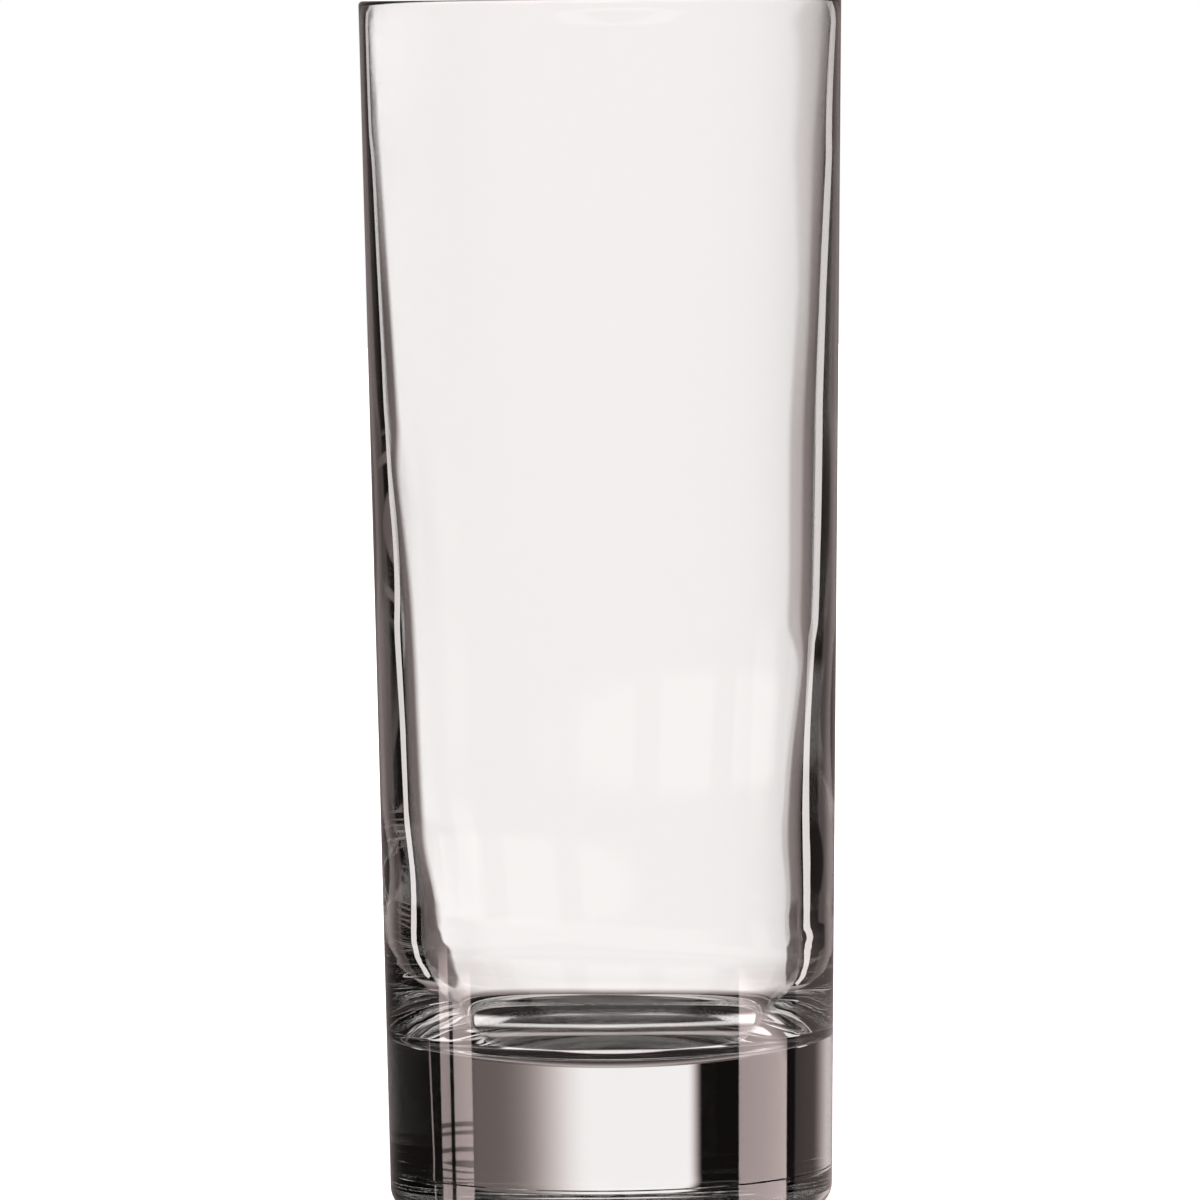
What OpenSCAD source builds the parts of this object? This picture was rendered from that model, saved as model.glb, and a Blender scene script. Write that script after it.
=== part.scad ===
// Straight-sided highball glass, turned about its upright axis.
// The glass is divided into the zones that its making leaves: lip, side, heavy base and foot.
// Sizes are in millimetres, +Z is up, and the origin is the middle of the plane that it stands on.

/* [Overall] */
// Height from the table to the top of the lip
height = 156; // [130:1:180]
// Outer diameter at the lip
rim_d = 62; // [56:0.5:70]
// Outer diameter of the side where its straight line meets the table
base_d = 57; // [52:0.5:64]

/* [Side] */
// Thickness of the glass at the lip
lip_t = 1.1; // [0.8:0.1:2]
// Height of the fire-polished zone under the top of the lip
lip_h = 3; // [2:0.5:6]
// Thickness of the glass at the foot of the straight side
wall_t = 3.9; // [2.5:0.1:5]

/* [Floor] */
// Thickness of the glass under the middle of the floor
floor_t = 19.5; // [12:0.5:24]
// Radius of the floor's shallow dish
dish_r = 95; // [70:1:130]
// Height above the middle of the floor at which the straight inside ends
sweep_h = 16.5; // [14:0.5:18]
// Radius of the long curve from the straight inside towards the floor
sweep_r = 30; // [26:1:40]
// Radius of the corner between that curve and the dish
corner_r = 3.5; // [2:0.5:6]

/* [Foot] */
// Height of the mould seam above the table
seam_h = 5.5; // [4.5:0.5:8]
// Radius of the rounded heel
heel_r = 3; // [1:0.5:4]
// Width of the flat ring that the glass stands on
bearing_w = 2.5; // [1:0.5:5]
// Depth of the hollow inside that ring
punt_h = 1; // [0.5:0.1:2]

/* [Hidden] */

// The lip is a full round, and the straight lines of the side end at its widest point.
lip_r = lip_t / 2;
lip_z = height - lip_r;
lip_foot_z = height - lip_h;
lip_centre = [rim_d / 2 - lip_r, lip_z];

// Outer side: a straight line that leans outwards.
lean = atan((rim_d - base_d) / 2 / lip_z);
function outer_r(z) = base_d / 2 + tan(lean) * z;

// Inner side: a straight line that leans more, so that the wall grows thicker downwards.
side_z = floor_t + sweep_h;
side_r = outer_r(side_z) - wall_t;
inner_lean = atan((rim_d / 2 - lip_t - side_r) / (lip_z - side_z));
function inner_r(z) = side_r + tan(inner_lean) * (z - side_z);

// Inside of the base: three arcs that run into each other, the sweep, the corner and the dish.
sweep_centre = [side_r - sweep_r * cos(inner_lean), side_z + sweep_r * sin(inner_lean)];
dish_centre = [0, floor_t + dish_r];
corner_centre = meeting(sweep_centre, sweep_r - corner_r, dish_centre, dish_r - corner_r);
sweep_end = bearing(sweep_centre, corner_centre);
corner_end = bearing(dish_centre, corner_centre);

// Foot: the heel is an arc that touches the side and the table, and the punt is a shallow dome.
heel_centre = [outer_r(heel_r) - heel_r / cos(lean), heel_r];
punt_r = heel_centre.x - bearing_w;
punt_dome_r = (punt_r ^ 2 + punt_h ^ 2) / (2 * punt_h);
punt_centre = [0, punt_h - punt_dome_r];
punt_edge = bearing(punt_centre, [punt_r, 0]);

// Degrees of turn between two points of an arc
arc_step = 5;
// Round steps of the turned shapes
$fn = 128;
glass_colour = [0.90, 0.92, 0.91, 0.45];

// Points of an arc from one angle to another, both ends included
function arc(centre, r, from, to) =
    let (steps = max(3, ceil(abs(to - from) / arc_step)))
    [for (i = [0:steps]) centre + r * [cos(from + (to - from) * i / steps), sin(from + (to - from) * i / steps)]];

// Point at distance a from p and b from q, on the right as seen from p towards q
function meeting(p, a, q, b) =
    let (d = norm(q - p))
    let (along = (a ^ 2 - b ^ 2 + d ^ 2) / (2 * d))
    let (aside = sqrt(a ^ 2 - along ^ 2))
    let (u = (q - p) / d)
    p + along * u + aside * [u.y, -u.x];

// Angle of the line from p to q
function bearing(p, q) = atan2(q.y - p.y, q.x - p.x);

// A solid of revolution in the colour of the glass
module turned_glass(outline) {
    color(glass_colour) rotate_extrude() polygon(outline);
}

// Fire-polished lip
module rim() {
    lip = arc(lip_centre, lip_r, 0, 180);
    foot_of_lip = [[inner_r(lip_foot_z), lip_foot_z], [outer_r(lip_foot_z), lip_foot_z]];
    turned_glass(concat(lip, foot_of_lip));
}

// Tapered side
module wall() {
    turned_glass([
        [outer_r(side_z), side_z],
        [outer_r(lip_foot_z), lip_foot_z],
        [inner_r(lip_foot_z), lip_foot_z],
        [side_r, side_z]
    ]);
}

// Heavy base with the dished floor
module base() {
    sweep = arc(sweep_centre, sweep_r, -inner_lean, sweep_end);
    corner = arc(corner_centre, corner_r, sweep_end, corner_end);
    dish = arc(dish_centre, dish_r, corner_end, -90);
    underside = [[0, seam_h], [outer_r(seam_h), seam_h]];
    turned_glass(concat([[outer_r(side_z), side_z]], sweep, corner, dish, underside));
}

// Foot below the mould seam, with its heel, bearing ring and punt
module foot() {
    heel = arc(heel_centre, heel_r, -lean, -90);
    punt = arc(punt_centre, punt_dome_r, punt_edge, 90);
    top = [[0, seam_h], [outer_r(seam_h), seam_h]];
    turned_glass(concat(heel, punt, top));
}

rim();
wall();
base();
foot();
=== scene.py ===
# Looks of a straight highball glass: one turned piece of clear glass on a pale studio floor.
import math

import bpy
from mathutils import Matrix, Vector


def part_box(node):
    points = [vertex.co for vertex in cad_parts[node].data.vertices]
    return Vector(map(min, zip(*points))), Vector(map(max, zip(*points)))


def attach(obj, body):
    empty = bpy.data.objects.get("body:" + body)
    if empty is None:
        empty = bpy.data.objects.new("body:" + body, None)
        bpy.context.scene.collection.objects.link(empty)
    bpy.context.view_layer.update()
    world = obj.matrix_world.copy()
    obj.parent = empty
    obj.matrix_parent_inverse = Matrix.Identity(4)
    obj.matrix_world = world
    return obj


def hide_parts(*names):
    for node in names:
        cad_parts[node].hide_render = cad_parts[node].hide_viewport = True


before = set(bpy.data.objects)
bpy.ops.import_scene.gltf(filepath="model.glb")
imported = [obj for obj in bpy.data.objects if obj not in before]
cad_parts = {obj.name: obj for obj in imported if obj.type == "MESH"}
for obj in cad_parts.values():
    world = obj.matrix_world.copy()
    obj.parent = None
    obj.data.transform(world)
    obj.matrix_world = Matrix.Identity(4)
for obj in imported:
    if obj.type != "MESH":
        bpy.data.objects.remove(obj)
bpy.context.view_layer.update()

MM = 0.001
FULL_TURN = 2 * math.pi
QUARTER_TURN = math.pi / 2
WHITE = (1, 1, 1, 1)

# Sizes that the frame gives
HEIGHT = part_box("rim")[1].z
RIM_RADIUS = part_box("rim")[1].x
SEAM_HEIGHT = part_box("foot")[1].z
SEAM_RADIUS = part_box("foot")[1].x
SIDE_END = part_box("wall")[0].z

# Sizes inside the glass and under it
LIP_THICKNESS = 1.1 * MM
WALL_THICKNESS = 3.9 * MM
FLOOR_THICKNESS = 19.5 * MM
DISH_RADIUS = 95 * MM
SWEEP_RADIUS = 30 * MM
CORNER_RADIUS = 3.5 * MM
HEEL_RADIUS = 3 * MM
BEARING_WIDTH = 2.5 * MM
PUNT_DEPTH = 1 * MM
SEAM_RIDGE = 0.006 * MM
SEAM_WIDTH = 0.5 * MM

# The cavity from the lip down to the floor: height, how far it sits to the right, how much narrower it is
CAVITY_DRIFT = (
    (156, 0.0, 0.0), (136, -0.2, 0.0), (104, -0.24, 0.0), (76, 0.15, 0.12),
    (52, -0.24, 0.45), (38, 0.2, 0.6), (28, 0.5, 0.2), (19, 0.5, 0.0),
)

# Unevenness of the inside
WANDER_DEPTH = 0.05 * MM
WANDER_SIZE = 45 * MM
WANDER_FADE = 30 * MM
RIPPLE_DEPTH = 0.03 * MM
RIPPLE_PITCH = 1.6 * MM
RIPPLE_LENGTH = 14 * MM
RIPPLE_LOW = 20 * MM
RIPPLE_HIGH = 46 * MM
RIPPLED_SIDES = (0.5, 0.95)
UNEVEN_DETAIL = 1.0
UNEVEN_ROUGHNESS = 0.5
UNEVEN_MIDDLE = 0.5
UNEVEN_SEED = 3.7

# Steps along each stretch of the section, and around the axis
PUNT_STEPS = 24
RING_STEPS = 4
HEEL_STEPS = 24
UNDER_SEAM_STEPS = 8
SEAM_STEPS = 14
SIDE_STEPS = 60
LIP_STEPS = 24
INNER_STEPS = 100
RIPPLED_STEPS = 36
SWEEP_STEPS = 70
CORNER_STEPS = 30
DISH_STEPS = 60
STEPS_AROUND = 180
LEAST_STEP = 0.001 * MM
WELD_GAP = 0.0005 * MM

# The glass, and its skin: slow waves left by the flame, and the worn ring that the glass stands on
GLASS_BEND = 1.52
GLASS_TINT = (0.45, 0.5, 0.48, 1)
TINT_DENSITY = 2.0
LAMP_LIGHT_KEPT = (0.8, 0.8, 0.8, 1)
SKIN_WAVE = 11 * MM
SKIN_STRETCH = (1.0, 1.0, 0.5)
SKIN_DETAIL = 1.0
SKIN_DEPTH = 0.004 * MM
SCUFF_SIZE = 0.6 * MM
SCUFF_DETAIL = 4.0
SCUFF_PATCHES = (0.35, 0.6)
SCUFF_HEIGHT = 0.12 * MM
SCUFF_ROUGHNESS = 0.3

# The view of the photograph: eye level with the rim, looking a little down, with a slight roll
IMAGE_SIZE = 1200
EYE_DISTANCE = 1.2
RIM_MIDDLE = (599.75, -1.0)
PIXELS_ACROSS_RIM = 482.8
ROLL = math.radians(0.56)

# The lamp, and how often light may turn in the glass
LAMP_PLACE = (-0.1, -0.75, 1.4)
LAMP_SIZE = 0.8
LAMP_POWER = 27.0
MOST_TURNS = 32
MOST_MIRRORINGS = 16

# The floor: its colour, and how its glow grows with the distance from the glass
FLOOR_REACH = 3.0
FLOOR_COLOUR = (0.8, 0.8, 0.8, 1)
FLOOR_GLOW = (0.1, 0.5, 0.35, 1.0)

# Tints of the studio
GREY_TINT = (1.2, 0.95, 0.91, 1)
WHITE_TINT = (1.02, 0.99, 0.98, 1)
MIRRORED_WHITENESS = 0.2

# From here on, a run is from, to and, where it isn't from 0 to 1, the values at its two ends.
# A span is its two ends and how soft they are. Directions are in degrees: around is 0 behind the glass and
# grows to the right, aside is the same to both sides, and up is 0 at eye level.

# Surfaces that light has met, counted as the world counts them, which is one more than a card does
STRAIGHT_THROUGH = 3.5
THROUGH_BASE = 4.5
FEW_TURNS = 5.5
MANY_TURNS = 12.5
ALSO_MANY_TURNS = (8.0, 10.0)
SAME_COUNT = 0.5

# The lit table and the pale wall at the left
TABLE_LEFT_END = (-16.9, -13.7)
TABLE_FADE_START = 3.0
TABLE_FADE_WIDTH = 8.8
TABLE_FADE_SHARE = 0.88
TABLE_TAIL = (34.0, 26.0, 0.0, 0.12)
LEFT_WALL_NEAR_END = (-56.0, -78.0)
LEFT_WALL_FAR_END = (-125.0, -110.0)
LEFT_WALL_TONE = 0.9
TABLE_TOP = 1.0
TABLE_TOP_THROUGH_BASE = 8.0
TABLE_TOP_STRAIGHT_THROUGH = 45.0
TABLE_TOP_EDGE = (1.0, -1.0)

# The glow for light that the outer wall has turned inwards
TURNED_BY_WALL = 4.0
TURNED_BY_WALL_UP = (5.0, 4.0)
GLOW_END = (-4.0, -7.0, 19.0, 28.0)
GLOW_EDGE = (2.5, -2.5)
GLOW_TONE = (22.0, 0.0, 0.085, 0.48)
RUNG_PITCH = 1.25
RUNG_EDGE = (0.1, 0.9)
RUNGS_AROUND = (-40.0, -10.0, 3.0)
RUNGS_UP = (-14.0, -7.6, 0.4)
RUNG_TONE = 0.14

# Bright bars at the sides and a bright ceiling, for light that has turned many times
BARS_END = (105.0, 95.0)
BARS_UP = (6.0, 10.0)
BARS_IN_A_TURN = 9.0
BAR_LEAN = 4.0
BAR_EDGE = (-0.3, 0.2)
BAR_TONE = 0.9
CEILING_EDGE = (32.0, 38.0)
CEILING_START = (90.0, 120.0)
CEILING_TONE = (0.3, 0.9, 0.1, 0.9)
CEILING_COUNT = 6.5
CEILING_COUNT_REACH = 0.6
DARKEST_TONE = 0.004

# The pale table all round, further down
RING_GAPS = 8.0
RING_GAP_EDGE = (-0.4, -0.75)
RING_TONES = (0.9, 0.2)
RING_DIM_COUNTS = (7.0, 8.0)
RING_DIMMED = 0.4
RING_DIMMED_MANY_TURNS = 0.9
RING_TOP = (-17.0, -21.0)
RING_TOP_FEW_TURNS = (-12.0, -14.0)
RING_HIDDEN_BEHIND = (66.0, 62.0)

# The dark room that the skin mirrors. A soft box is start, end, top and strength
WINDOW_PANES = ((-104.0, -91.7, -7.45, 5.2), (-88.8, -81.8, -7.12, 4.0))
WINDOW_MIDDLE = -95.0
WINDOW_LEAN = 0.011
WINDOW_BARS = ((-8.26, -8.23), (-8.31, -8.285), (-8.415, -8.385), (-8.505, -8.47))
WINDOW_BAR_SOFT = 0.01
WINDOW_BAR_TONE = 0.3
RIGHT_BOX = (76.0, 110.0, -7.55, 6.0)
BOX_SIDE_SOFT = 0.7
BOX_TOP_SOFT = 0.15
BOX_FOOT = (-60.0, -50.0)
LINE_TOP = -7.6
LINE_LEAN = 2.5
LINE_AROUND = (-73.8, -72.6, 0.4)
LINE_UP = (-30.0, -7.5, 0.1)
LINE_TONE = 2.5
PALE_SIDE_AROUND = (10.0, 68.5, 1.5)
PALE_SIDE_TONE = (66.0, 30.0, 0.4, 0.28)
PALE_SIDE_UP = (-6.2, -6.8, 0.12, 1.0)
LIGHT_ABOVE = (35.0, 45.0)
LIGHT_ABOVE_TONE = 0.9
ROOM_TONE = (45.0, 5.0, 0.02, 0.2)
ROOM_FLOOR_TONE = 0.15

# On the cards places are in millimetres, and the count of surfaces is the card's own
CARD_COUNT_REACH = 0.1

# The floor under the foot, with the painted shadow of the glass and painted streaks of light. A streak is
# near end, far end, softness and tone
FOOT_CARD_RADIUS = 64
FOOT_CARD_STEPS = 48
FOOT_BOW = 0.012
DISH_CARD_DEPTH = -0.3
DISH_CARD_COUNT = 4
DISH_STREAKS = ((14.5, 20.5, 1.5, 1.4), (7.2, 9.8, 0.8, 0.55), (-18.0, -6.5, 1.5, 1.1))
DISH_OUTSIDE = (30.0, 66.0, 0.02, 0.95)
SIDE_CARD_DEPTH = -0.4
SIDE_CARD_COUNT = 3
SIDE_NEAR = (-21.5, -24.5, 0.0, 0.9)
SIDE_FAR = (36.0, 70.0, 0.02, 0.5)

# The panel behind the glass. A slope is the height at which it starts and its rise for each millimetre
PANEL_DISTANCE = 300
PANEL_REACH = 420
PANEL_TOP = 220
PANEL_COUNT = 4
PANEL_WHITE = 1.04
WING_TONE = 1.3
WHITE_SPREAD_START = 26.0
WHITE_GROWTH = 0.36e-4
WHITE_GROWTH_SLOPES = ((50.0, 2.4e-6), (100.0, 0.9e-6))
WHITE_MOST = 2.2
LEFT_DARK = ((86.0, 134.0, 0.26, 1.3), (132.0, 142.0, 0.0, 1.3))
LEFT_EDGE_SHIFTS = ((45.0, 70.0, 0.0, 25.0), (0.0, -40.0, 0.0, -14.0), (-60.0, -90.0, 0.0, 36.0))
LEFT_EDGE_START = 112.0
LEFT_EDGE_END = (40.0, 90.0, 142.0, 129.0)
LEFT_WING_SHIFTS = ((62.0, 40.0, 0.0, -45.0), (35.0, 10.0, 0.0, -120.0))
LEFT_WING = (133.0, 160.0)
PLATEAU_TONES = ((72.0, 104.0, 0.66, 0.86), (30.0, 10.0, 0.0, 0.15))
PLATEAU_SLOPE = (96.0, 0.75)
PLATEAU_SHIFT = (44.0, 8.0, 0.0, -42.0)
PLATEAU = (77.0, 87.0)
RIGHT_DARK = 0.34
RIGHT_DARK_SLOPE = (80.0, 0.007)
RIGHT_EDGE_SLOPE = (88.0, 0.65)
RIGHT_EDGE_SHIFT = (44.0, 8.0, 0.0, -32.0)
RIGHT_EDGE = (102.0, 120.0)
RIGHT_WING_SHIFT = (40.0, 12.0, 0.0, -120.0)
RIGHT_WING = (172.0, 200.0)
LOW_DIM = (20.0, 80.0, 0.06, 0.2)
LOW_DIM_HEIGHT = (-10.0, -90.0)
LEFT_DIM = (45.0, 75.0, 0.0, 0.07)
LEFT_DIM_HEIGHT = (6.0, -8.0)

# The bright strips at its sides: distance to the side and height of each corner
STRIP_DISTANCE = 298
STRIP_COUNT = 3
STRIP_TONE = 0.85
LEFT_STRIP = (
    (154, 165), (166, 142), (176, 119), (206, 104), (238, 76), (250, 55), (248, 26), (276, 12),
    (294, -8), (288, -30), (284, -85), (300, -200), (365, -200), (345, -85), (355, -30), (345, 0),
    (325, 12), (300, 26), (286, 55), (268, 76), (240, 104), (210, 119), (200, 142), (190, 165),
)
RIGHT_STRIP = (
    (110, 165), (148, 122), (178, 102), (206, 85), (228, 64), (246, 48), (258, 25), (286, 5),
    (284, -60), (270, -200), (340, -200), (350, -60), (370, -20), (372, 2), (332, 25), (318, 48),
    (302, 64), (274, 85), (242, 102), (212, 122), (180, 165),
)

# The shades close behind the glass: side, runs of the inner edge by height, its softness, outer end and top
SHADE_DISTANCE = 40
SHADE_COUNT = 4
SHADE_TONE = 0.18
SHADE_CORNERS = ((30, -8), (62, -8), (62, 36), (30, 36))
SHADES = {
    "shade_left": (-1, ((25.0, 35.0, 32.0, 43.0), (12.0, -6.0, 0.0, 5.0)), 1.0, (60.0, 54.0), (34.0, 31.0)),
    "shade_right": (1, ((30.0, 34.0, 37.0, 41.5), (16.0, -4.0, 0.0, 2.5)), 0.8, (54.0, 50.0), (35.0, 32.0)),
}


class Wiring:
    """Adds nodes to a tree and links them. An input is a socket or a plain value."""

    def __init__(self, tree):
        self.tree = tree

    def put(self, socket, value):
        if isinstance(value, bpy.types.NodeSocket):
            self.tree.links.new(value, socket)
        else:
            socket.default_value = value

    def node(self, kind, inputs=None, **settings):
        made = self.tree.nodes.new(kind)
        for name, value in settings.items():
            setattr(made, name, value)
        for name, value in (inputs or {}).items():
            self.put(made.inputs[name], value)
        return made

    def math(self, operation, *values):
        made = self.node("ShaderNodeMath", operation=operation)
        for socket, value in zip(made.inputs, values):
            self.put(socket, value)
        return made.outputs[0]

    def chain(self, operation, first, others):
        for other in others:
            first = self.math(operation, first, other)
        return first

    def product(self, first, *others):
        return self.chain("MULTIPLY", first, others)

    def total(self, first, *others):
        return self.chain("ADD", first, others)

    def largest(self, first, *others):
        return self.chain("MAXIMUM", first, others)

    def less(self, value, taken):
        return self.math("SUBTRACT", value, taken)

    def past(self, value, start):
        """How far value is past start, and 0 before it."""
        return self.largest(self.less(value, start), 0.0)

    def scaled(self, vector, factor):
        made = self.node("ShaderNodeVectorMath", operation="SCALE")
        self.put(made.inputs[0], vector)
        self.put(made.inputs["Scale"], factor)
        return made.outputs[0]

    def stretched(self, vector, factors):
        made = self.node("ShaderNodeVectorMath", operation="MULTIPLY")
        self.put(made.inputs[0], vector)
        self.put(made.inputs[1], factors)
        return made.outputs[0]

    def parts_of(self, vector):
        return self.node("ShaderNodeSeparateXYZ", {0: vector}).outputs

    def ease(self, value, low, high, to_low=0.0, to_high=1.0):
        """Runs smoothly from to_low at low to to_high at high, and stays there outside."""
        made = self.node("ShaderNodeMapRange", interpolation_type="SMOOTHSTEP")
        for name, number in (("Value", value), ("From Min", low), ("From Max", high),
                             ("To Min", to_low), ("To Max", to_high)):
            self.put(made.inputs[name], number)
        return made.outputs["Result"]

    def eases(self, value, runs):
        return self.total(*[self.ease(value, *run) for run in runs])

    def between(self, value, low, high, soft):
        """1 between low and high, and 0 outside, with edges that are soft to each side."""
        rise = self.ease(value, low - soft, low + soft)
        return self.product(rise, self.ease(value, high + soft, high - soft))

    def blend(self, factor, first, second):
        """Numbers first and second mixed: first at factor 0, second at 1."""
        made = self.node("ShaderNodeMix", data_type="FLOAT")
        for name, value in (("Factor", factor), ("A", first), ("B", second)):
            self.put(made.inputs[name], value)
        return made.outputs["Result"]


def arc(centre, radius, start, end, steps):
    """Points of an arc, both ends included. Angles are in radians."""
    turns = [start + (end - start) * i / steps for i in range(steps + 1)]
    return [centre + radius * Vector((math.cos(turn), math.sin(turn))) for turn in turns]


def straight(start, end, steps):
    return [start.lerp(end, i / steps) for i in range(steps + 1)]


def bearing(start, end):
    return math.atan2(end.y - start.y, end.x - start.x)


def meeting(p, a, q, b):
    """The point at distance a from p and b from q, on the right as seen from p towards q."""
    gap = (q - p).length
    along = (a * a - b * b + gap * gap) / (2 * gap)
    aside = math.sqrt(a * a - along * along)
    ahead = (q - p) / gap
    return p + along * ahead + aside * Vector((ahead.y, -ahead.x))


def smooth(value, low, high):
    share = min(1.0, max(0.0, (value - low) / (high - low)))
    return share * share * (3 - 2 * share)


def glass_outline():
    """Half of the section, from the middle of the underside round the outside to the middle of the floor.
    The second list is 0 on the outside and 1 on the inside, which starts at the lip."""
    lip_radius = LIP_THICKNESS / 2
    lip_centre = Vector((RIM_RADIUS - lip_radius, HEIGHT - lip_radius))
    slope = (RIM_RADIUS - SEAM_RADIUS) / (lip_centre.y - SEAM_HEIGHT)
    lean = math.atan(slope)

    def outer(z):
        return SEAM_RADIUS + slope * (z - SEAM_HEIGHT)

    def ridge(z):
        return SEAM_RIDGE * (1 - smooth(abs(z - SEAM_HEIGHT), 0, SEAM_WIDTH / 2))

    heel_centre = Vector((outer(HEEL_RADIUS) - HEEL_RADIUS / math.cos(lean), HEEL_RADIUS))
    punt_edge = Vector((heel_centre.x - BEARING_WIDTH, 0))
    punt_radius = (punt_edge.x ** 2 + PUNT_DEPTH ** 2) / (2 * PUNT_DEPTH)
    punt_centre = Vector((0, PUNT_DEPTH - punt_radius))
    punt = arc(punt_centre, punt_radius, QUARTER_TURN, bearing(punt_centre, punt_edge), PUNT_STEPS)
    ring = straight(punt_edge, Vector((heel_centre.x, 0)), RING_STEPS)
    heel = arc(heel_centre, HEEL_RADIUS, -QUARTER_TURN, -lean, HEEL_STEPS)
    seam_low = SEAM_HEIGHT - SEAM_WIDTH / 2
    seam_high = SEAM_HEIGHT + SEAM_WIDTH / 2
    seam_start = Vector((outer(seam_low), seam_low))
    seam_end = Vector((outer(seam_high), seam_high))
    under_seam = straight(heel[-1], seam_start, UNDER_SEAM_STEPS)
    seam = [p + Vector((ridge(p.y), 0)) for p in straight(seam_start, seam_end, SEAM_STEPS)]
    side = straight(seam_end, Vector((RIM_RADIUS, lip_centre.y)), SIDE_STEPS)
    lip = arc(lip_centre, lip_radius, 0, math.pi, LIP_STEPS)

    side_foot = Vector((outer(SIDE_END) - WALL_THICKNESS, SIDE_END))
    inner_lean = math.atan((lip[-1].x - side_foot.x) / (lip[-1].y - side_foot.y))
    sweep_centre = side_foot + SWEEP_RADIUS * Vector((-math.cos(inner_lean), math.sin(inner_lean)))
    dish_centre = Vector((0, FLOOR_THICKNESS + DISH_RADIUS))
    to_sweep = SWEEP_RADIUS - CORNER_RADIUS
    to_dish = DISH_RADIUS - CORNER_RADIUS
    corner_centre = meeting(sweep_centre, to_sweep, dish_centre, to_dish)
    sweep_end = bearing(sweep_centre, corner_centre)
    corner_end = bearing(dish_centre, corner_centre)
    rippled = side_foot.lerp(lip[-1], (RIPPLE_HIGH - SIDE_END) / (lip[-1].y - SIDE_END))
    inner = straight(lip[-1], rippled, INNER_STEPS) + straight(rippled, side_foot, RIPPLED_STEPS)
    sweep = arc(sweep_centre, SWEEP_RADIUS, -inner_lean, sweep_end, SWEEP_STEPS)
    corner = arc(corner_centre, CORNER_RADIUS, sweep_end, corner_end, CORNER_STEPS)
    dish = arc(dish_centre, DISH_RADIUS, corner_end, -QUARTER_TURN, DISH_STEPS)

    outside = punt + ring + heel + under_seam + seam + side + lip
    inside = inner + sweep + corner + dish
    points, shares = [], []
    for point, share in [(p, 0.0) for p in outside] + [(p, 1.0) for p in inside]:
        if points and (point - points[-1]).length < LEAST_STEP:
            continue
        points.append(point)
        shares.append(share)
    return points, shares


def drift(z):
    """How far the cavity sits to the right at height z, and how much narrower it is there."""
    for top, bottom in zip(CAVITY_DRIFT, CAVITY_DRIFT[1:]):
        if z >= bottom[0] * MM:
            share = smooth(z, bottom[0] * MM, top[0] * MM)
            return [MM * (low + (high - low) * share) for low, high in zip(bottom[1:], top[1:])]
    return [MM * value for value in CAVITY_DRIFT[-1][1:]]


def section_wire():
    """The outline as a wire in the XZ plane. Its points carry how far they drift, wander and ripple."""
    points, shares = glass_outline()
    mesh = bpy.data.meshes.new("glass_section")
    places = [(max(0.0, p.x - share * drift(p.y)[1]), 0, p.y) for p, share in zip(points, shares)]
    mesh.from_pydata(places, [(i, i + 1) for i in range(len(points) - 1)], [])
    middle = (RIPPLE_LOW + RIPPLE_HIGH) / 2
    reach = RIPPLE_HIGH - middle
    carried = {
        "drift": [share * drift(p.y)[0] for p, share in zip(points, shares)],
        "wander": [share * smooth(HEIGHT - p.y, 0, WANDER_FADE) for p, share in zip(points, shares)],
        "ripple": [share * (1 - smooth(abs(p.y - middle), 0, reach)) for p, share in zip(points, shares)],
    }
    for name, values in carried.items():
        mesh.attributes.new(name, "FLOAT", "POINT").data.foreach_set("value", values)
    return bpy.data.objects.new("glass_section", mesh)


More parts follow.
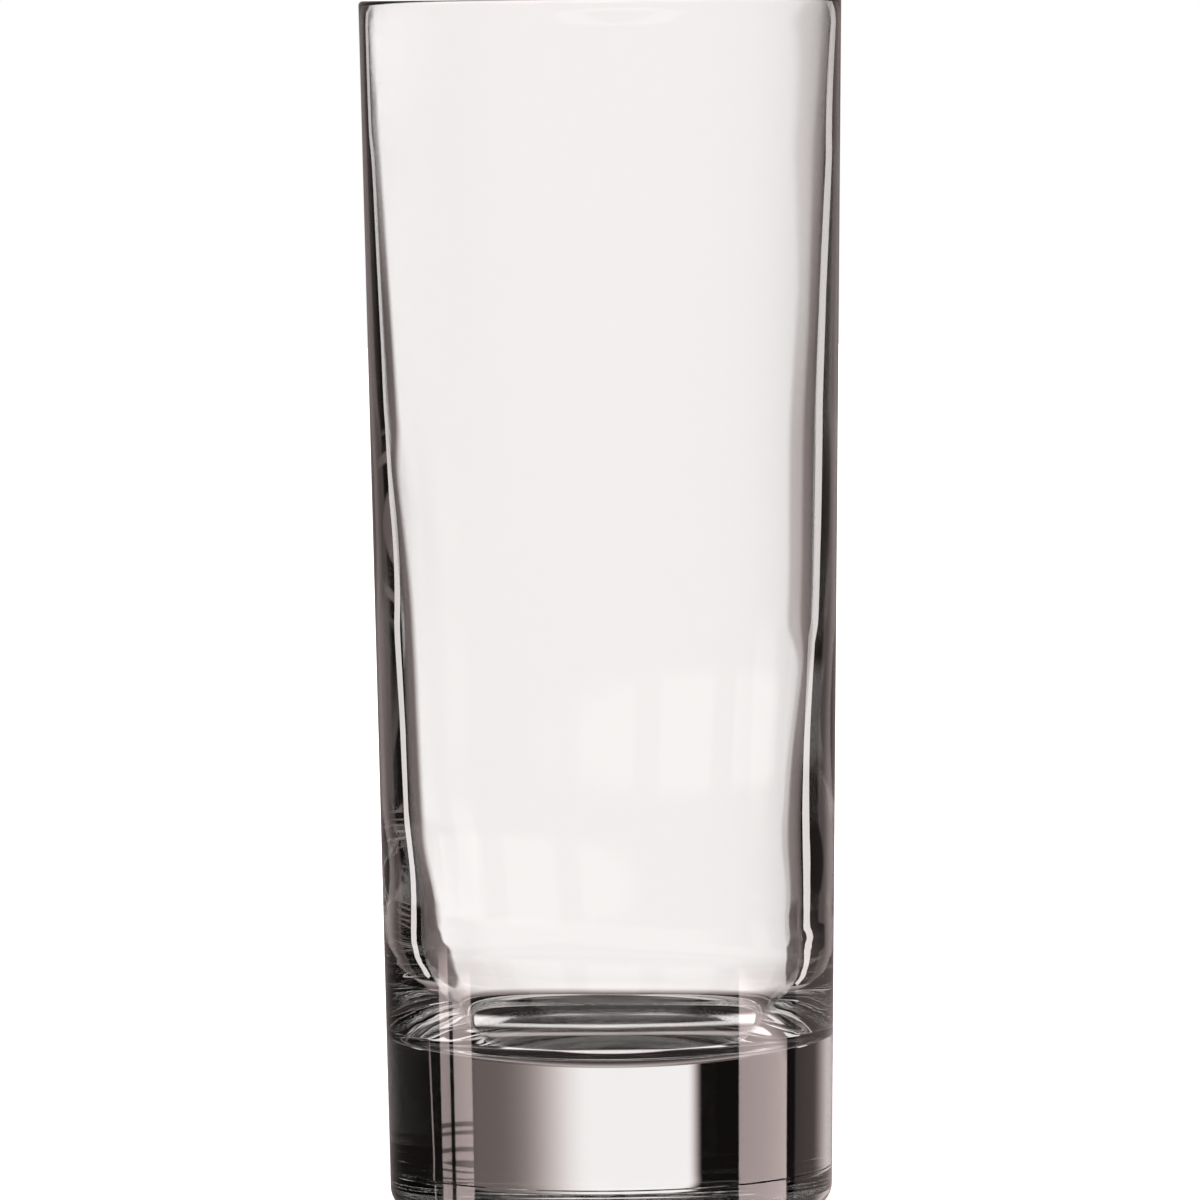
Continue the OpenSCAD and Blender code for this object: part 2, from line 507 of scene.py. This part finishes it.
def turning_tree():
    """Geometry Nodes that turn a section about the axis and make its inside uneven."""
    tree = bpy.data.node_groups.new("turn_the_glass", "GeometryNodeTree")
    wire = Wiring(tree)
    add = tree.interface.new_socket
    add("Section", in_out="INPUT", socket_type="NodeSocketGeometry")
    names = {}
    for name, kind in (("Steps around", "Int"), ("Wander depth", "Float"), ("Wander size", "Float"),
                       ("Ripple depth", "Float"), ("Ripple pitch", "Float"), ("Ripple length", "Float"),
                       ("Seed", "Float"), ("Glass", "Material")):
        names[name] = add(name, in_out="INPUT", socket_type="NodeSocket" + kind).identifier
    add("Turned glass", in_out="OUTPUT", socket_type="NodeSocketGeometry")
    given = wire.node("NodeGroupInput").outputs

    # A sheet with one column for each step around and one row for each point of the section
    rows = wire.node("GeometryNodeAttributeDomainSize", {"Geometry": given["Section"]}).outputs["Point Count"]
    columns = wire.math("ADD", given["Steps around"], 1)
    sheet = wire.node("GeometryNodeMeshGrid", {"Vertices X": columns, "Vertices Y": rows}).outputs["Mesh"]
    index = wire.node("GeometryNodeInputIndex").outputs[0]
    column = wire.math("FLOOR", wire.math("DIVIDE", index, rows))
    row = wire.math("MODULO", index, rows)
    turn = wire.product(wire.math("DIVIDE", column, given["Steps around"]), FULL_TURN)

    def from_section(value, kind):
        pick = wire.node("GeometryNodeSampleIndex", data_type=kind, domain="POINT")
        for socket, source in (("Geometry", given["Section"]), ("Value", value), ("Index", row)):
            wire.put(pick.inputs[socket], source)
        return pick.outputs["Value"]

    def carried(name):
        read = wire.node("GeometryNodeInputNamedAttribute", {"Name": name}, data_type="FLOAT")
        return read.outputs["Attribute"]

    position = wire.node("GeometryNodeInputPosition").outputs[0]
    place = wire.parts_of(from_section(position, "FLOAT_VECTOR"))
    turned = wire.node("ShaderNodeCombineXYZ", {
        "X": wire.product(place["X"], wire.math("COSINE", turn)),
        "Y": wire.product(place["X"], wire.math("SINE", turn)),
        "Z": place["Z"],
    }).outputs[0]
    shape = sheet
    for name in ("drift", "wander", "ripple"):
        shape = wire.node("GeometryNodeStoreNamedAttribute", {
            "Geometry": shape, "Name": name, "Value": from_section(carried(name), "FLOAT"),
        }, data_type="FLOAT", domain="POINT").outputs[0]
    shape = wire.node("GeometryNodeSetPosition", {"Geometry": shape, "Position": turned}).outputs[0]
    shape = wire.node("GeometryNodeMergeByDistance", {"Geometry": shape, "Distance": WELD_GAP}).outputs[0]

    # The inside wanders a little, and ripples at the sides where it was chilled first
    def unevenness(coordinates):
        noise = wire.node("ShaderNodeTexNoise", {
            "Vector": coordinates, "W": given["Seed"], "Scale": 1.0,
            "Detail": UNEVEN_DETAIL, "Roughness": UNEVEN_ROUGHNESS,
        }, noise_dimensions="4D")
        return wire.less(noise.outputs[0], UNEVEN_MIDDLE)

    slow = unevenness(wire.scaled(position, wire.math("DIVIDE", 1.0, given["Wander size"])))
    along = wire.math("DIVIDE", 1.0, given["Ripple length"])
    upward = wire.math("DIVIDE", 1.0, given["Ripple pitch"])
    squeeze = wire.node("ShaderNodeCombineXYZ", {"X": along, "Y": along, "Z": upward}).outputs[0]
    quick = unevenness(wire.stretched(position, squeeze))
    here = wire.parts_of(position)
    sideways = wire.math("ABSOLUTE", wire.math("COSINE", wire.math("ARCTAN2", here["Y"], here["X"])))
    slow = wire.product(slow, given["Wander depth"], carried("wander"))
    quick = wire.product(quick, given["Ripple depth"], carried("ripple"), wire.ease(sideways, *RIPPLED_SIDES))
    push = wire.scaled(wire.node("GeometryNodeInputNormal").outputs[0], wire.total(slow, quick))
    sideshift = wire.node("ShaderNodeCombineXYZ", {"X": carried("drift")}).outputs[0]
    moved = wire.node("ShaderNodeVectorMath", {0: push, 1: sideshift}, operation="ADD").outputs[0]
    shape = wire.node("GeometryNodeSetPosition", {"Geometry": shape, "Offset": moved}).outputs[0]

    for name in ("drift", "wander", "ripple"):
        shape = wire.node("GeometryNodeRemoveAttribute", {"Geometry": shape, "Name": name}).outputs[0]
    shape = wire.node("GeometryNodeSetShadeSmooth", {"Geometry": shape, "Shade Smooth": True}).outputs[0]
    shape = wire.node("GeometryNodeRealizeInstances", {"Geometry": shape}).outputs[0]
    shape = wire.node("GeometryNodeSetMaterial", {"Geometry": shape, "Material": given["Glass"]}).outputs[0]
    wire.node("NodeGroupOutput", {"Turned glass": shape})
    return tree, names


def plain_mesh(source, tree, values, name, material):
    """The result of a Geometry Nodes tree on source, as an object of plain mesh with one material."""
    bpy.context.scene.collection.objects.link(source)
    modifier = source.modifiers.new("shape", "NODES")
    modifier.node_group = tree
    for identifier, value in values.items():
        modifier[identifier] = value
    depsgraph = bpy.context.evaluated_depsgraph_get()
    mesh = bpy.data.meshes.new_from_object(source.evaluated_get(depsgraph), depsgraph=depsgraph)
    source.modifiers.clear()
    bpy.data.objects.remove(source)
    mesh.name = name
    mesh.materials.clear()
    mesh.materials.append(material)
    mesh.polygons.foreach_set("material_index", [0] * len(mesh.polygons))
    made = bpy.data.objects.new(name, mesh)
    bpy.context.scene.collection.objects.link(made)
    return made


def node_material(name):
    material = bpy.data.materials.new(name)
    material.use_nodes = True
    material.node_tree.nodes.clear()
    return material, Wiring(material.node_tree)


def fire_polished_glass():
    material, wire = node_material("fire_polished_glass")
    place = wire.node("ShaderNodeTexCoord").outputs["Object"]
    height = wire.parts_of(place)["Z"]
    waves = wire.node("ShaderNodeTexNoise", {
        "Vector": wire.stretched(place, SKIN_STRETCH), "Scale": 1 / SKIN_WAVE, "Detail": SKIN_DETAIL,
    }).outputs[0]
    skin = wire.node("ShaderNodeBump", {"Height": waves, "Strength": 1.0, "Distance": SKIN_DEPTH})
    grit = wire.node("ShaderNodeTexNoise", {
        "Vector": place, "Scale": 1 / SCUFF_SIZE, "Detail": SCUFF_DETAIL,
    }).outputs[0]
    worn = wire.ease(height, SCUFF_HEIGHT, 0.0)
    worn = wire.product(worn, wire.ease(grit, *SCUFF_PATCHES), SCUFF_ROUGHNESS)
    surface = wire.node("ShaderNodeBsdfPrincipled", {
        "Base Color": WHITE, "Roughness": worn, "IOR": GLASS_BEND, "Transmission Weight": 1.0,
        "Normal": skin.outputs[0],
    })
    inner = wire.node("ShaderNodeVolumeAbsorption", {"Color": GLASS_TINT, "Density": TINT_DENSITY})
    through = wire.node("ShaderNodeBsdfTransparent", {"Color": LAMP_LIGHT_KEPT})
    lamp_ray = wire.node("ShaderNodeLightPath").outputs["Is Shadow Ray"]
    mixed = wire.node("ShaderNodeMixShader", {0: lamp_ray, 1: surface.outputs[0], 2: through.outputs[0]})
    wire.node("ShaderNodeOutputMaterial", {"Surface": mixed.outputs[0], "Volume": inner.outputs[0]})
    return material


def highball_glass():
    tree, names = turning_tree()
    glass_material = fire_polished_glass()
    values = {
        "Steps around": STEPS_AROUND, "Wander depth": WANDER_DEPTH, "Wander size": WANDER_SIZE,
        "Ripple depth": RIPPLE_DEPTH, "Ripple pitch": RIPPLE_PITCH, "Ripple length": RIPPLE_LENGTH,
        "Seed": UNEVEN_SEED, "Glass": glass_material,
    }
    by_socket = {names[key]: value for key, value in values.items()}
    glass = plain_mesh(section_wire(), tree, by_socket, "glass_body", glass_material)
    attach(glass, "root")
    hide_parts("rim", "wall", "base", "foot")


def warm_grey(wire, whiteness):
    """The tint of a studio tone: whites are nearly neutral and greys are warmer."""
    tint = wire.node("ShaderNodeMix", {"Factor": whiteness}, data_type="RGBA", clamp_factor=True)
    wire.put(tint.inputs["A"], GREY_TINT)
    wire.put(tint.inputs["B"], WHITE_TINT)
    return tint.outputs["Result"]


class Sight:
    """Where light comes from, and how many surfaces it has met on its way."""

    def __init__(self, wire):
        way = wire.parts_of(wire.node("ShaderNodeTexCoord").outputs["Generated"])
        path = wire.node("ShaderNodeLightPath").outputs
        self.wire = wire
        self.around = wire.math("DEGREES", wire.math("ARCTAN2", way["X"], way["Y"]))
        self.aside = wire.math("ABSOLUTE", self.around)
        self.up = wire.math("DEGREES", wire.math("ARCSINE", way["Z"]))
        self.by_camera = path["Is Camera Ray"]
        self.mirrored = path["Is Reflection Ray"]
        self.met = path["Ray Depth"]
        self.straight_through = wire.math("LESS_THAN", self.met, STRAIGHT_THROUGH)
        self.through_base = wire.math("LESS_THAN", self.met, THROUGH_BASE)
        self.few_turns = wire.math("LESS_THAN", self.met, FEW_TURNS)
        also = [wire.math("COMPARE", self.met, count, SAME_COUNT) for count in ALSO_MANY_TURNS]
        self.many_turns = wire.total(wire.math("GREATER_THAN", self.met, MANY_TURNS), *also)


def lit_table(sight):
    """The lit table behind the glass, which ends sharply at the left and fades out slowly to the right."""
    wire = sight.wire
    faded = wire.math("DIVIDE", wire.past(sight.around, TABLE_FADE_START), TABLE_FADE_WIDTH)
    fading = wire.math("EXPONENT", wire.product(faded, faded, -1.0))
    fading = wire.total(wire.product(fading, TABLE_FADE_SHARE), wire.ease(sight.around, *TABLE_TAIL))
    table = wire.product(wire.ease(sight.around, *TABLE_LEFT_END), fading)
    left_wall = wire.product(wire.ease(sight.around, *LEFT_WALL_NEAR_END), LEFT_WALL_TONE)
    left_wall = wire.product(left_wall, wire.ease(sight.around, *LEFT_WALL_FAR_END))
    top = wire.blend(sight.through_base, TABLE_TOP, TABLE_TOP_THROUGH_BASE)
    top = wire.blend(sight.straight_through, top, TABLE_TOP_STRAIGHT_THROUGH)
    under_top = wire.ease(wire.less(sight.up, top), *TABLE_TOP_EDGE)
    return wire.product(wire.largest(table, left_wall), under_top, sight.few_turns)


def wall_glow(sight):
    """The dim glow that light finds once the outer wall has turned it, with bright rungs low at the left."""
    wire = sight.wire
    past_end = wire.less(sight.aside, wire.ease(sight.up, *GLOW_END))
    glow = wire.product(wire.ease(past_end, *GLOW_EDGE), wire.ease(sight.aside, *GLOW_TONE))
    rungs = wire.ease(wire.math("COSINE", wire.product(sight.up, FULL_TURN / RUNG_PITCH)), *RUNG_EDGE)
    rungs = wire.product(rungs, wire.between(sight.around, *RUNGS_AROUND), RUNG_TONE)
    rungs = wire.product(rungs, wire.between(sight.up, *RUNGS_UP))
    return wire.largest(glow, rungs)


def bars_at_sides(sight):
    wire = sight.wire
    bars = wire.total(wire.product(sight.around, BARS_IN_A_TURN), wire.product(sight.up, BAR_LEAN))
    bars = wire.ease(wire.math("COSINE", wire.math("RADIANS", bars)), *BAR_EDGE)
    bars = wire.product(bars, wire.ease(sight.aside, *BARS_END), BAR_TONE)
    return wire.product(bars, wire.ease(wire.math("ABSOLUTE", sight.up), *BARS_UP), sight.many_turns)


def bright_ceiling(sight):
    wire = sight.wire
    ahead = wire.math("ABSOLUTE", wire.math("COSINE", wire.math("RADIANS", sight.around)))
    ceiling = wire.product(wire.ease(ahead, *CEILING_TONE), wire.ease(sight.up, *CEILING_EDGE))
    shows = wire.math("COMPARE", sight.met, CEILING_COUNT, CEILING_COUNT_REACH)
    return wire.product(ceiling, shows, wire.ease(sight.aside, *CEILING_START))


def pale_ring(sight):
    """A pale table all round, with a dark gap every eighth of a turn."""
    wire = sight.wire
    waves = wire.math("COSINE", wire.product(wire.math("RADIANS", sight.around), RING_GAPS))
    gaps = wire.product(wire.ease(waves, *RING_GAP_EDGE), sight.few_turns)
    dimmed = wire.blend(sight.many_turns, RING_DIMMED, RING_DIMMED_MANY_TURNS)
    dimming = wire.ease(sight.met, *RING_DIM_COUNTS, 1.0, dimmed)
    return wire.product(wire.ease(gaps, 0.0, 1.0, *RING_TONES), dimming)


def soft_box(sight, start, end, top, strength):
    wire = sight.wire
    under_top = wire.ease(sight.up, top + BOX_TOP_SOFT, top - BOX_TOP_SOFT)
    height = wire.product(under_top, wire.ease(sight.up, *BOX_FOOT))
    return wire.product(wire.between(sight.around, start, end, BOX_SIDE_SOFT), height, strength)


def mirrored_room(sight, below):
    """What the skin of the glass mirrors: a dark room with a barred window and a soft box at its sides."""
    wire = sight.wire
    window = wire.total(*[soft_box(sight, *pane) for pane in WINDOW_PANES])
    level = wire.less(sight.up, wire.product(wire.less(sight.around, WINDOW_MIDDLE), WINDOW_LEAN))
    for low, high in WINDOW_BARS:
        bar = wire.between(level, low, high, WINDOW_BAR_SOFT)
        window = wire.product(window, wire.ease(bar, 0.0, 1.0, 1.0, WINDOW_BAR_TONE))
    slanted = wire.less(sight.around, wire.product(wire.less(sight.up, LINE_TOP), LINE_LEAN))
    line = wire.product(wire.between(slanted, *LINE_AROUND), wire.between(sight.up, *LINE_UP), LINE_TONE)
    pale_side = wire.between(sight.around, *PALE_SIDE_AROUND)
    pale_side = wire.product(pale_side, wire.ease(sight.around, *PALE_SIDE_TONE))
    pale_side = wire.product(pale_side, wire.ease(sight.up, *PALE_SIDE_UP))
    room = wire.blend(below, wire.ease(sight.aside, *ROOM_TONE), ROOM_FLOOR_TONE)
    room = wire.blend(wire.ease(sight.up, *LIGHT_ABOVE), room, LIGHT_ABOVE_TONE)
    return wire.total(room, soft_box(sight, *RIGHT_BOX), window, line, pale_side)


def studio_world():
    """What the glass bends and mirrors. The camera itself sees plain white."""
    world = bpy.data.worlds.new("studio")
    bpy.context.scene.world = world
    world.use_nodes = True
    world.node_tree.nodes.clear()
    wire = Wiring(world.node_tree)
    sight = Sight(wire)

    off_wall = wire.math("COMPARE", sight.met, TURNED_BY_WALL, SAME_COUNT)
    off_wall = wire.product(off_wall, wire.ease(sight.up, *TURNED_BY_WALL_UP))
    eye_level = wire.blend(off_wall, lit_table(sight), wall_glow(sight))
    eye_level = wire.largest(eye_level, bars_at_sides(sight), bright_ceiling(sight), DARKEST_TONE)
    ring_few_turns = wire.ease(sight.up, *RING_TOP_FEW_TURNS)
    below = wire.blend(sight.few_turns, wire.ease(sight.up, *RING_TOP), ring_few_turns)
    behind = wire.product(sight.through_base, wire.ease(sight.aside, *RING_HIDDEN_BEHIND))
    ring_shows = wire.product(below, wire.less(1.0, behind))
    seen_through = wire.blend(ring_shows, eye_level, pale_ring(sight))

    tone = wire.blend(sight.mirrored, seen_through, mirrored_room(sight, below))
    tint = warm_grey(wire, wire.blend(sight.mirrored, tone, MIRRORED_WHITENESS))
    shown = wire.node("ShaderNodeMix", {"Factor": sight.by_camera}, data_type="RGBA")
    wire.put(shown.inputs["A"], wire.scaled(tint, tone))
    wire.put(shown.inputs["B"], WHITE)
    background = wire.node("ShaderNodeBackground", {"Color": shown.outputs["Result"], "Strength": 1.0})
    wire.node("ShaderNodeOutputWorld", {"Surface": background.outputs[0]})


def stage_mesh(name, corners, material):
    """A flat piece of the studio: one face through the corners."""
    mesh = bpy.data.meshes.new(name)
    mesh.from_pydata(corners, [], [tuple(range(len(corners)))])
    mesh.materials.append(material)
    made = bpy.data.objects.new(name, mesh)
    bpy.context.scene.collection.objects.link(made)
    return made


def pale_floor():
    material, wire = node_material("floor_white")
    matte = wire.node("ShaderNodeBsdfDiffuse", {"Color": FLOOR_COLOUR})
    seen = wire.node("ShaderNodeLightPath").outputs["Is Camera Ray"]
    away = wire.node("ShaderNodeVectorMath", operation="LENGTH")
    wire.put(away.inputs[0], wire.node("ShaderNodeTexCoord").outputs["Object"])
    strength = wire.product(seen, wire.ease(away.outputs["Value"], *FLOOR_GLOW))
    glow = wire.node("ShaderNodeEmission", {"Color": WHITE, "Strength": strength})
    both = wire.node("ShaderNodeAddShader", {0: matte.outputs[0], 1: glow.outputs[0]})
    wire.node("ShaderNodeOutputMaterial", {"Surface": both.outputs[0]})
    far = FLOOR_REACH
    corners = [(-far, -far, 0), (far, -far, 0), (far, far, 0), (-far, far, 0)]
    floor = stage_mesh("pale_floor", corners, material)
    floor.visible_glossy = False
    floor.visible_transmission = False


def card(name, corners, tone_of, count, cover_of=None):
    """A flat card that shows only through the glass, to light that has met this count of surfaces.
    tone_of(wire, x, y, z) gives its brightness and cover_of how solid it is. Places are in millimetres."""
    material, wire = node_material(name)
    place = wire.node("ShaderNodeTexCoord").outputs["Object"]
    place = wire.parts_of(wire.scaled(place, 1 / MM))
    place = [place[axis] for axis in "XYZ"]
    tone = tone_of(wire, *place)
    glow = wire.node("ShaderNodeEmission", {"Color": warm_grey(wire, tone), "Strength": tone})
    clear = wire.node("ShaderNodeBsdfTransparent", {"Color": WHITE})
    path = wire.node("ShaderNodeLightPath").outputs
    shows = wire.math("COMPARE", path["Ray Depth"], count, CARD_COUNT_REACH)
    shows = wire.product(shows, wire.less(1.0, path["Is Reflection Ray"]))
    if cover_of:
        shows = wire.product(shows, cover_of(wire, *place))
    mixed = wire.node("ShaderNodeMixShader", {0: shows, 1: clear.outputs[0], 2: glow.outputs[0]})
    wire.node("ShaderNodeOutputMaterial", {"Surface": mixed.outputs[0]})
    piece = stage_mesh(name, [Vector(corner) * MM for corner in corners], material)
    piece.visible_camera = False
    piece.visible_diffuse = False
    piece.visible_shadow = False


def floor_under_foot():
    """The floor that shows through the base: a painted shadow, and painted streaks of the light that the base
    throws on it.
    """
    def bow(wire, x, y):
        return wire.total(y, wire.product(x, x, FOOT_BOW))

    # Painted shadow under the foot with painted streaks of light across it, and pale floor beyond it
    def through_dish(wire, x, y, z):
        bent = bow(wire, x, y)
        streaks = [wire.product(wire.between(bent, *span), tone) for *span, tone in DISH_STREAKS]
        outside = wire.math("SQRT", wire.total(wire.product(x, x), wire.product(y, y)))
        return wire.largest(*streaks, wire.ease(outside, *DISH_OUTSIDE))

    # Painted shadow on the floor, from just in front of the foot to behind it
    def through_side(wire, x, y, z):
        bent = bow(wire, x, y)
        return wire.largest(wire.ease(bent, *SIDE_NEAR), wire.ease(bent, *SIDE_FAR))

    def round_card(name, tone_of, count, depth):
        radius = FOOT_CARD_RADIUS
        turns = [FULL_TURN * i / FOOT_CARD_STEPS for i in range(FOOT_CARD_STEPS)]
        corners = [(radius * math.cos(turn), radius * math.sin(turn), depth) for turn in turns]
        card(name, corners, tone_of, count)

    round_card("floor_under_dish", through_dish, DISH_CARD_COUNT, DISH_CARD_DEPTH)
    round_card("floor_under_side", through_side, SIDE_CARD_COUNT, SIDE_CARD_DEPTH)


def slope_tone(wire, z, slope):
    start, rise = slope
    return wire.product(wire.past(z, start), rise)


def left_of_panel(wire, out, z):
    """White that grows stronger outwards, then a darker stretch and a pale wing."""
    growth = wire.total(*[slope_tone(wire, z, slope) for slope in WHITE_GROWTH_SLOPES], WHITE_GROWTH)
    spread = wire.past(out, WHITE_SPREAD_START)
    white = wire.total(wire.product(spread, spread, growth), PANEL_WHITE)
    white = wire.math("MINIMUM", white, WHITE_MOST)
    edge = wire.total(out, wire.eases(z, LEFT_EDGE_SHIFTS))
    edge = wire.ease(edge, LEFT_EDGE_START, wire.ease(z, *LEFT_EDGE_END))
    wing = wire.ease(wire.total(out, wire.eases(z, LEFT_WING_SHIFTS)), *LEFT_WING)
    return wire.blend(wing, wire.blend(edge, white, wire.eases(z, LEFT_DARK)), WING_TONE)


def right_of_panel(wire, x, z):
    """White, then a grey plateau, a darker stretch and a pale wing."""
    dark = wire.total(slope_tone(wire, z, RIGHT_DARK_SLOPE), RIGHT_DARK)
    near = wire.total(x, slope_tone(wire, z, PLATEAU_SLOPE), wire.ease(z, *PLATEAU_SHIFT))
    edge = wire.total(x, slope_tone(wire, z, RIGHT_EDGE_SLOPE), wire.ease(z, *RIGHT_EDGE_SHIFT))
    wing = wire.ease(wire.total(x, wire.ease(z, *RIGHT_WING_SHIFT)), *RIGHT_WING)
    tone = wire.blend(wire.ease(near, *PLATEAU), PANEL_WHITE, wire.eases(z, PLATEAU_TONES))
    tone = wire.blend(wire.ease(edge, *RIGHT_EDGE), tone, dark)
    return wire.blend(wing, tone, WING_TONE)


def panel_tone(wire, x, y, z):
    out = wire.product(x, -1.0)
    dim = wire.product(wire.ease(wire.math("ABSOLUTE", x), *LOW_DIM), wire.ease(z, *LOW_DIM_HEIGHT))
    dim = wire.total(dim, wire.product(wire.ease(out, *LEFT_DIM), wire.ease(z, *LEFT_DIM_HEIGHT)))
    on_right = wire.math("GREATER_THAN", x, 0.0)
    tone = wire.blend(on_right, left_of_panel(wire, out, z), right_of_panel(wire, x, z))
    return wire.product(tone, wire.less(1.0, dim))


def strip_tone(wire, x, y, z):
    return STRIP_TONE


def shade_tone(wire, x, y, z):
    return SHADE_TONE


def shade_cover(side, edge_runs, soft, outer_end, top):
    def cover(wire, x, y, z):
        out = wire.product(x, side)
        inside = wire.ease(wire.less(out, wire.eases(z, edge_runs)), -soft, soft)
        return wire.product(inside, wire.ease(out, *outer_end), wire.ease(z, *top))
    return cover


def cards_behind():
    """A white panel with grey sides and pale wings behind the glass, and a bright strip at each side of it.
    Close behind the glass, a shade with soft edges darkens each low corner of the cavity."""
    far = PANEL_REACH
    panel_edge = ((-far, -far), (far, -far), (far, PANEL_TOP), (-far, PANEL_TOP))
    corners = [(x, PANEL_DISTANCE, z) for x, z in panel_edge]
    card("panel_behind", corners, panel_tone, PANEL_COUNT)
    for name, side, edge in (("strip_left", -1, LEFT_STRIP), ("strip_right", 1, RIGHT_STRIP)):
        corners = [(side * x, STRIP_DISTANCE, z) for x, z in edge]
        card(name, corners, strip_tone, STRIP_COUNT)
    for name, (side, *shape) in SHADES.items():
        corners = [(side * x, SHADE_DISTANCE, z) for x, z in SHADE_CORNERS]
        card(name, corners, shade_tone, SHADE_COUNT, shade_cover(side, *shape))


def soft_lamp():
    data = bpy.data.lights.new("top_light", "AREA")
    data.shape = "DISK"
    data.size = LAMP_SIZE
    data.energy = LAMP_POWER
    lamp = bpy.data.objects.new("top_light", data)
    lamp.location = LAMP_PLACE
    lamp.rotation_mode = "QUATERNION"
    lamp.rotation_quaternion = (-Vector(LAMP_PLACE)).to_track_quat("-Z", "Y")
    lamp.visible_camera = False
    lamp.visible_glossy = False
    lamp.visible_transmission = False
    bpy.context.scene.collection.objects.link(lamp)


def photo_camera():
    """Looks at the glass as the photograph does, so that the rim and the heel fall where they do there."""
    data = bpy.data.cameras.new("photo_camera")
    data.sensor_fit = "HORIZONTAL"
    pixel = 2 * RIM_RADIUS / PIXELS_ACROSS_RIM
    half = IMAGE_SIZE / 2
    dip = math.atan((half - RIM_MIDDLE[1]) * pixel / EYE_DISTANCE)
    focal = EYE_DISTANCE * math.cos(dip) / pixel
    data.lens = data.sensor_width * focal / IMAGE_SIZE
    dip = math.atan((half - RIM_MIDDLE[1]) / focal)
    swing = math.atan((RIM_MIDDLE[0] - half + math.tan(ROLL) * (half - RIM_MIDDLE[1])) / focal)
    eye = Vector((0, -EYE_DISTANCE, HEIGHT))
    turned = Matrix.Rotation(swing, 4, "Z") @ Matrix.Rotation(QUARTER_TURN - dip, 4, "X")
    camera = bpy.data.objects.new("photo_camera", data)
    camera.matrix_world = Matrix.Translation(eye) @ turned @ Matrix.Rotation(-ROLL, 4, "Z")
    bpy.context.scene.collection.objects.link(camera)
    bpy.context.scene.camera = camera


def studio():
    scene = bpy.context.scene
    scene.view_settings.view_transform = "Standard"
    scene.cycles.max_bounces = MOST_TURNS
    scene.cycles.transmission_bounces = MOST_TURNS
    scene.cycles.glossy_bounces = MOST_MIRRORINGS
    scene.cycles.caustics_reflective = False
    scene.cycles.caustics_refractive = False
    photo_camera()
    studio_world()
    pale_floor()
    floor_under_foot()
    cards_behind()
    soft_lamp()


studio()
highball_glass()
